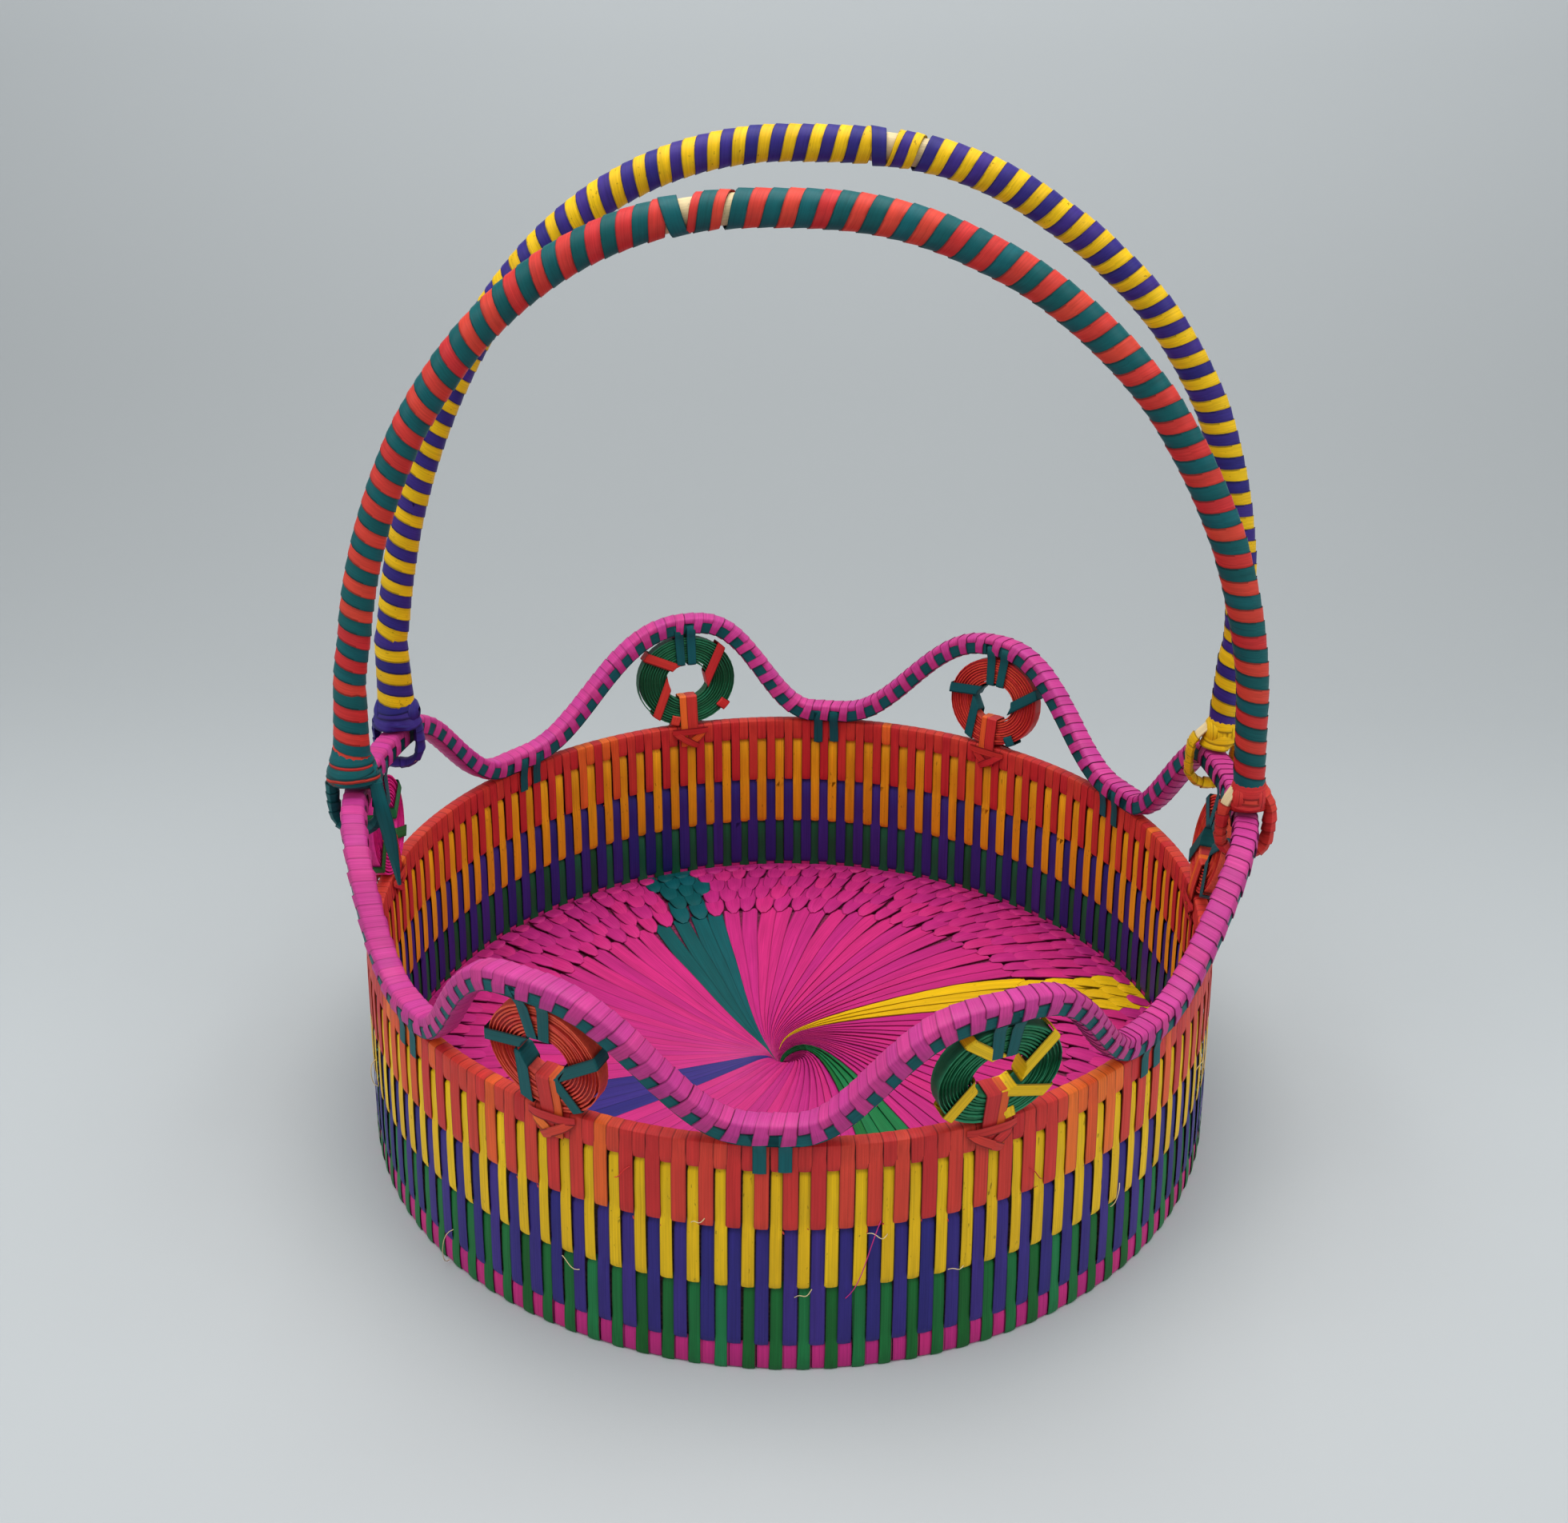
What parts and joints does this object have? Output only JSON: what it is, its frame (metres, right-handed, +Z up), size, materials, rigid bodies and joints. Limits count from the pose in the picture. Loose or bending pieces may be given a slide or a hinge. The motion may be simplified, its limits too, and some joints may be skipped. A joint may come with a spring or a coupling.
{
  "type": "palm leaf basket",
  "caption": "Round shallow basket of dyed palm leaf strip with a wavy openwork border of wound medallions and a pair of rocking arched handles.",
  "frame": {"origin": "middle of the flat underside, on the surface that the basket stands on", "axes": "+Z up; -Y the front, the side of the red and teal handle; +X to the right seen from the front, along both hinge axes"},
  "size_m": [0.3245, 0.3068, 0.339],
  "materials": {
    "pink_palm": "dyed palm leaf strip, satin",
    "red_palm": "dyed palm leaf strip, satin",
    "orange_palm": "dyed palm leaf strip, satin",
    "yellow_palm": "dyed palm leaf strip, satin",
    "purple_palm": "dyed palm leaf strip, satin",
    "green_palm": "dyed palm leaf strip, satin",
    "teal_palm": "dyed palm leaf strip, satin",
    "cane": "bare cane, dry"
  },
  "bodies": {
    "basket": {"floor_disc": "pink_palm", "base_hoop": "pink_palm", "green_hoop": "green_palm", "purple_hoop": "purple_palm", "yellow_hoop": "yellow_palm", "rim_hoop": "red_palm", "wavy_border": "pink_palm", "medallion_back_right": "red_palm", "medallion_back_left": "green_palm", "medallion_left": "pink_palm", "medallion_front_left": "red_palm", "medallion_front_right": "green_palm", "medallion_right": "red_palm", "lower_tie_back_right": "orange_palm", "lower_tie_back_left": "orange_palm", "lower_tie_left": "orange_palm", "lower_tie_front_left": "orange_palm", "lower_tie_front_right": "orange_palm", "lower_tie_right": "orange_palm", "upper_tie_back_right": "teal_palm", "upper_tie_back_left": "teal_palm", "upper_tie_left": "teal_palm", "upper_tie_front_left": "teal_palm", "upper_tie_front_right": "teal_palm", "upper_tie_right": "teal_palm", "border_tie_back_right": "teal_palm", "border_tie_back": "teal_palm", "border_tie_back_left": "teal_palm", "border_tie_front_left": "teal_palm", "border_tie_front": "teal_palm", "border_tie_front_right": "teal_palm"},
    "front_handle": {"front_cane": "cane", "front_wrap": "red_palm", "front_left_collar": "teal_palm", "front_right_collar": "red_palm", "front_left_eye": "teal_palm", "front_right_eye": "red_palm"},
    "rear_handle": {"rear_cane": "cane", "rear_wrap": "yellow_palm", "rear_left_collar": "purple_palm", "rear_right_collar": "yellow_palm", "rear_left_eye": "purple_palm", "rear_right_eye": "yellow_palm"}
  },
  "joints": [
    {"name": "front_handle_swing", "type": "hinge", "parent": "basket", "child": "front_handle", "pos_m": [0, -0.0232, 0.1336], "axis": [1, 0, 0], "range_deg": [-5.5, 30]},
    {"name": "rear_handle_swing", "type": "hinge", "parent": "basket", "child": "rear_handle", "pos_m": [0, 0.0288, 0.1336], "axis": [1, 0, 0], "range_deg": [-30, 5.5]}
  ]
}
